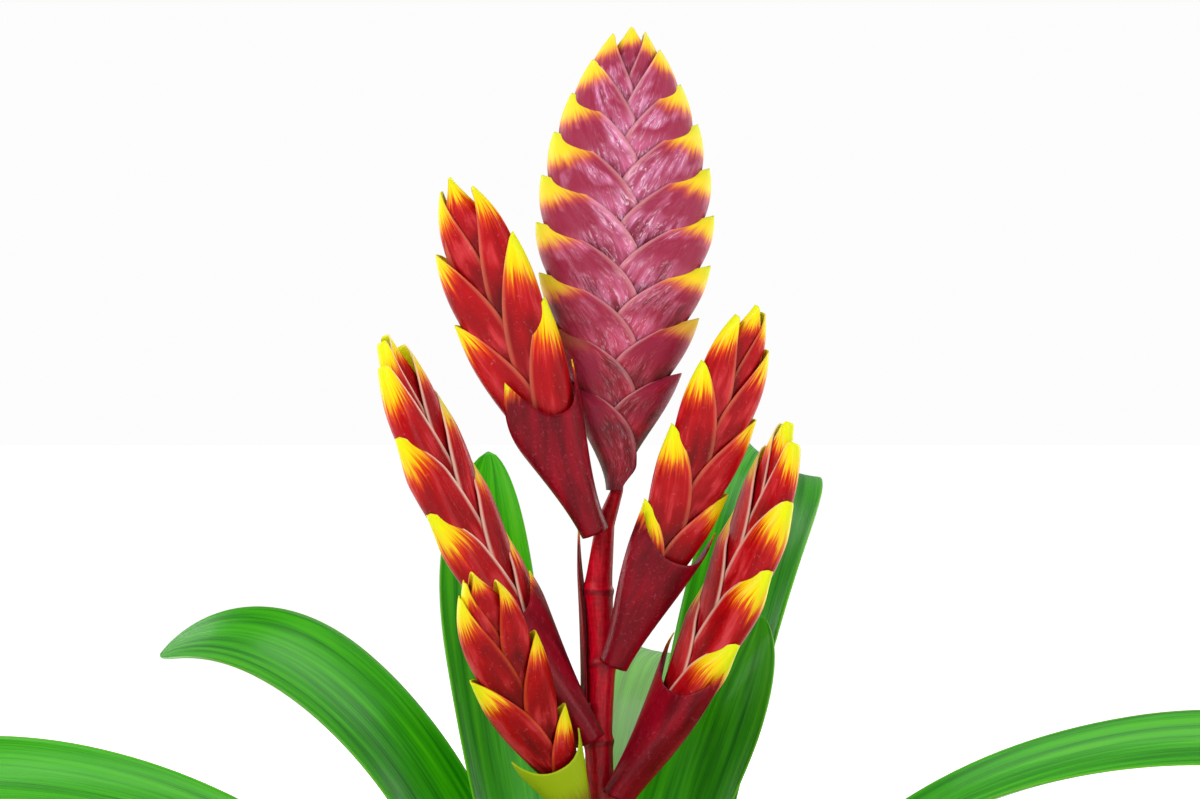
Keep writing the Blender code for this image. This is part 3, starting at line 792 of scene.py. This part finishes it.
# %% The turning tree
turn_sizes = {"Rows": 12, "Turn steps": 144}
tree, start, sizes = new_tree("turned_profile", turn_sizes)
grid = start.node(
    "GeometryNodeMeshGrid", None,
    {"Size X": 1.0, "Size Y": 1.0, "Vertices X": sizes["Rows"], "Vertices Y": sizes["Turn steps"] + 1},
)
where = start.node("GeometryNodeInputPosition")
row = start.math("ROUND", (start.node("ShaderNodeSeparateXYZ", None, {0: where}, 0) + 0.5) * (sizes["Rows"] - 1))
turn = (start.node("ShaderNodeSeparateXYZ", None, {0: where}, 1) + 0.5) * math.tau
corner = start.node(
    "GeometryNodeSampleIndex", {"data_type": "FLOAT_VECTOR"},
    {"Geometry": sizes["Geometry"], "Value": start.node("GeometryNodeInputPosition"), "Index": row},
)
turned_corner = start.node(
    "ShaderNodeVectorRotate", {"rotation_type": "Z_AXIS"}, {"Vector": corner, "Angle": turn}
)
bent = start.node("GeometryNodeSetPosition", None, {"Geometry": grid, "Position": turned_corner})
end_tree(start, start.node("GeometryNodeMergeByDistance", None, {"Geometry": bent, "Distance": 0.00001}), clay_finish)
turning_tree = tree


def turned(name, profile, steps=144):
    source = bpy.data.meshes.new(name)
    source.from_pydata([(r, 0.0, z) for r, z in profile], [], [])
    source_object = bpy.data.objects.new(name, source)
    return outward(grown(name, source_object, turning_tree, {"Rows": len(profile), "Turn steps": steps}))


def rounded(profile, radius, count=5):
    """A profile with an arc at each inner corner."""
    points = [profile[0]]
    for before, corner, after in zip(profile, profile[1:], profile[2:]):
        before, corner, after = Vector(before), Vector(corner), Vector(after)
        cut = min(radius, 0.4 * (corner - before).length, 0.4 * (after - corner).length)
        a, b = corner + (before - corner).normalized() * cut, corner + (after - corner).normalized() * cut
        for i in range(count + 1):
            t = i / count
            points.append(tuple(a * (1 - t) ** 2 + corner * 2 * t * (1 - t) + b * t * t))
    return [*points, profile[-1]]


# %% Make the pot
def inner_radius(z):
    return 0.046 - 0.004 + (0.066 - 0.003 - 0.046) / 0.118 * z


pot_profile = [
    (0.0, 0.005), (inner_radius(0.005), 0.005), (inner_radius(0.116), 0.116),
    (inner_radius(0.118) + 0.0015, 0.118), (0.064, 0.118), (0.066, 0.116), (0.065, 0.096),
    (0.063, 0.094), (inner_radius(0.094) + 0.004, 0.0935), (0.0464, 0.003), (0.044, 0.0), (0.0, 0.0),
]
mesh = turned("pot_clay", rounded(pot_profile, 0.0012))
pot = add_piece("pot_clay", mesh, clay_finish, ["pot"])
cutters = []
for hole in range(4):
    angle = math.tau * (hole + 0.5) / 4
    bm = bmesh.new()
    bmesh.ops.create_cone(bm, cap_ends=True, segments=32, radius1=0.0045, radius2=0.0045, depth=0.02)
    bmesh.ops.translate(bm, verts=bm.verts, vec=(0.028 * math.cos(angle), 0.028 * math.sin(angle), 0.0025))
    cutter_mesh = bpy.data.meshes.new("drain")
    bm.to_mesh(cutter_mesh)
    bm.free()
    cutter = bpy.data.objects.new("drain", cutter_mesh)
    bpy.context.scene.collection.objects.link(cutter)
    cutters.append(cutter)
    cut = pot.modifiers.new("drain", "BOOLEAN")
    cut.object, cut.operation, cut.solver = cutter, "DIFFERENCE", "EXACT"
bpy.context.view_layer.update()
drained = bpy.data.meshes.new_from_object(pot.evaluated_get(bpy.context.evaluated_depsgraph_get()))
pot.modifiers.clear()
pot.data = drained
for cutter in cutters:
    bpy.data.objects.remove(cutter)
print("pot faces", len(drained.polygons))

# %% Make the root crown
def crown_radius(z):
    swell, narrow = ease(0.066, 0.080, z), ease(MIX_LEVEL, 0.136, z)
    return 0.0075 * (0.35 + 0.65 * swell) - (0.0075 - 0.0044 - 0.0006) * narrow


crown_profile = [(0.0, 0.136), *[(crown_radius(z), z) for z in np.linspace(0.136, 0.066, 40)], (0.0, 0.066)]
crown_finish, start = new_finish("root_crown")
place = start.node("ShaderNodeTexCoord", None, None, 3)
fibre = grain(start, start.node("ShaderNodeMapping", None, {"Vector": place, "Scale": (1, 1, 0.12)}), 1100.0)
colour = fibre.step(0.3, 0.7).tint(paint(120, 104, 58), paint(178, 170, 104))
close_finish(start, colour, 0.6 + fibre * 0.2, fibre, 0.4)
mesh = turned("root_crown_core", crown_profile, 64)
add_piece("root_crown_core", mesh, crown_finish, ["root_crown"])

# %% [markdown]
# ## Potting mix
# The mix is coarse: bark chips and white perlite in fine dark compost. A bed fills the pot, and a
# Geometry Nodes tree scatters chips over it with a fixed seed. A chip is repeated hundreds of times,
# so it has only a few faces.

# %% Mix and chip finishes
mix_finish, start = new_finish("potting_mix")
place = start.node("ShaderNodeTexCoord", None, None, 3)
crumb, clump = grain(start, place, 700.0, 4.0, 0.7), grain(start, place, 160.0, 3.0, 0.6)
colour = (crumb * 0.6 + clump * 0.5).step(0.36, 0.72).tint(paint(34, 22, 15), paint(92, 62, 42))
colour = (crumb.step(0.66, 0.74)).tint(colour, paint(150, 122, 92))
close_finish(start, colour, 0.85 + crumb * 0.1, crumb * 0.8 + clump, 0.9)
bark_finish, start = new_finish("bark_chip")
place = start.node("ShaderNodeTexCoord", None, None, 3)
fibre = grain(start, start.node("ShaderNodeMapping", None, {"Vector": place, "Scale": (1, 4, 2)}), 420.0, 4.0)
colour = fibre.step(0.3, 0.7).tint(paint(66, 38, 24), paint(150, 98, 62))
close_finish(start, colour, 0.8 + fibre * 0.1, fibre, 0.8)
perlite_finish, start = new_finish("perlite")
place = start.node("ShaderNodeTexCoord", None, None, 3)
pit = grain(start, place, 1400.0, 3.0, 0.6)
close_finish(start, pit.step(0.3, 0.6).tint(paint(196, 192, 184), paint(240, 238, 232)), 0.8 + pit * 0.1, pit, 0.7)

# %% Make the bed of mix
bed_profile = [(0.0, 0.0653), *[(crown_radius(z) + 0.0006, z) for z in np.linspace(0.069, 0.106, 6)]]
bed_profile += [(r, 0.106) for r in np.linspace(0.010, inner_radius(MIX_LEVEL) - 0.010, 26)]
bed_profile += [(inner_radius(0.104) - 0.0006, 0.104), (inner_radius(0.0053) - 0.0006, 0.0053), (0.0, 0.0053)]
mesh = turned("potting_mix_bed", bed_profile, 160)
for vert in mesh.vertices:
    radius = math.hypot(vert.co.x, vert.co.y)
    if vert.co.z > 0.1055 and radius > 0.0095:
        wave = math.sin(310 * vert.co.x + 2) * math.sin(270 * vert.co.y + 1) + math.sin(590 * vert.co.x * 1.3)
        vert.co.z += 0.0004 * wave - 0.0004
add_piece("potting_mix_bed", mesh, mix_finish, ["potting_mix"])


# %% The scattering tree
def chip_mesh(name, size, squash):
    """A rough little block of 20 faces."""
    bm = bmesh.new()
    bmesh.ops.create_icosphere(bm, subdivisions=1, radius=size)
    for vert in bm.verts:
        vert.co = Vector((vert.co.x * (1.25 + 0.3 * math.sin(5e3 * vert.co.y)), vert.co.y * 0.8, vert.co.z * squash))
    mesh = bpy.data.meshes.new(name)
    bm.to_mesh(mesh)
    bm.free()
    return mesh


def scatter(name, chip, finish, density, smallest, seed):
    sizes_given = {"Density": density, "Smallest": smallest, "Seed": seed}
    tree, start, sizes = new_tree(name, sizes_given)
    chip_object = bpy.data.objects.new(f"{name}_pattern", chip)
    bpy.context.scene.collection.objects.link(chip_object)
    points = start.node(
        "GeometryNodeDistributePointsOnFaces", {"distribute_method": "RANDOM"},
        {"Mesh": sizes["Geometry"], "Density": sizes["Density"], "Seed": sizes["Seed"]},
    )
    pattern = start.node("GeometryNodeObjectInfo", None, {"Object": chip_object}, 4)
    turns = start.node(
        "FunctionNodeRandomValue", {"data_type": "FLOAT_VECTOR"},
        {0: (-0.5, -0.5, 0.0), 1: (0.5, 0.5, math.tau), "Seed": sizes["Seed"] + 1},
    )
    growth = start.node(
        "FunctionNodeRandomValue", {"data_type": "FLOAT"},
        {2: sizes["Smallest"], 3: 1.0, "Seed": sizes["Seed"] + 2}, 1,
    )
    placed = start.node(
        "GeometryNodeInstanceOnPoints", None,
        {"Points": points, "Instance": pattern, "Rotation": turns, "Scale": growth},
    )
    end_tree(start, placed, finish)
    ring = bpy.data.meshes.new(name)
    bm = bmesh.new()
    steps, inner, outer = 64, 0.0345, inner_radius(MIX_LEVEL) - 0.0035
    loops = [[bm.verts.new((r * math.cos(math.tau * i / steps), r * math.sin(math.tau * i / steps), MIX_LEVEL))
              for i in range(steps)] for r in (inner, outer)]
    for i in range(steps):
        j = (i + 1) % steps
        bm.faces.new((loops[0][i], loops[1][i], loops[1][j], loops[0][j]))
    bm.to_mesh(ring)
    bm.free()
    mesh = grown(name, bpy.data.objects.new(name, ring), tree, sizes_given)
    bpy.data.objects.remove(chip_object)
    mesh.materials.clear()
    mesh.materials.append(finish)
    piece = bpy.data.objects.new(name, mesh)
    bpy.context.scene.collection.objects.link(piece)
    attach(piece, "root")
    return piece


scatter("bark_chips", chip_mesh("chip", 0.0021, 0.42), bark_finish, 62000.0, 0.45, 3)
scatter("perlite_grains", chip_mesh("grain", 0.0011, 0.9), perlite_finish, 22000.0, 0.5, 11)
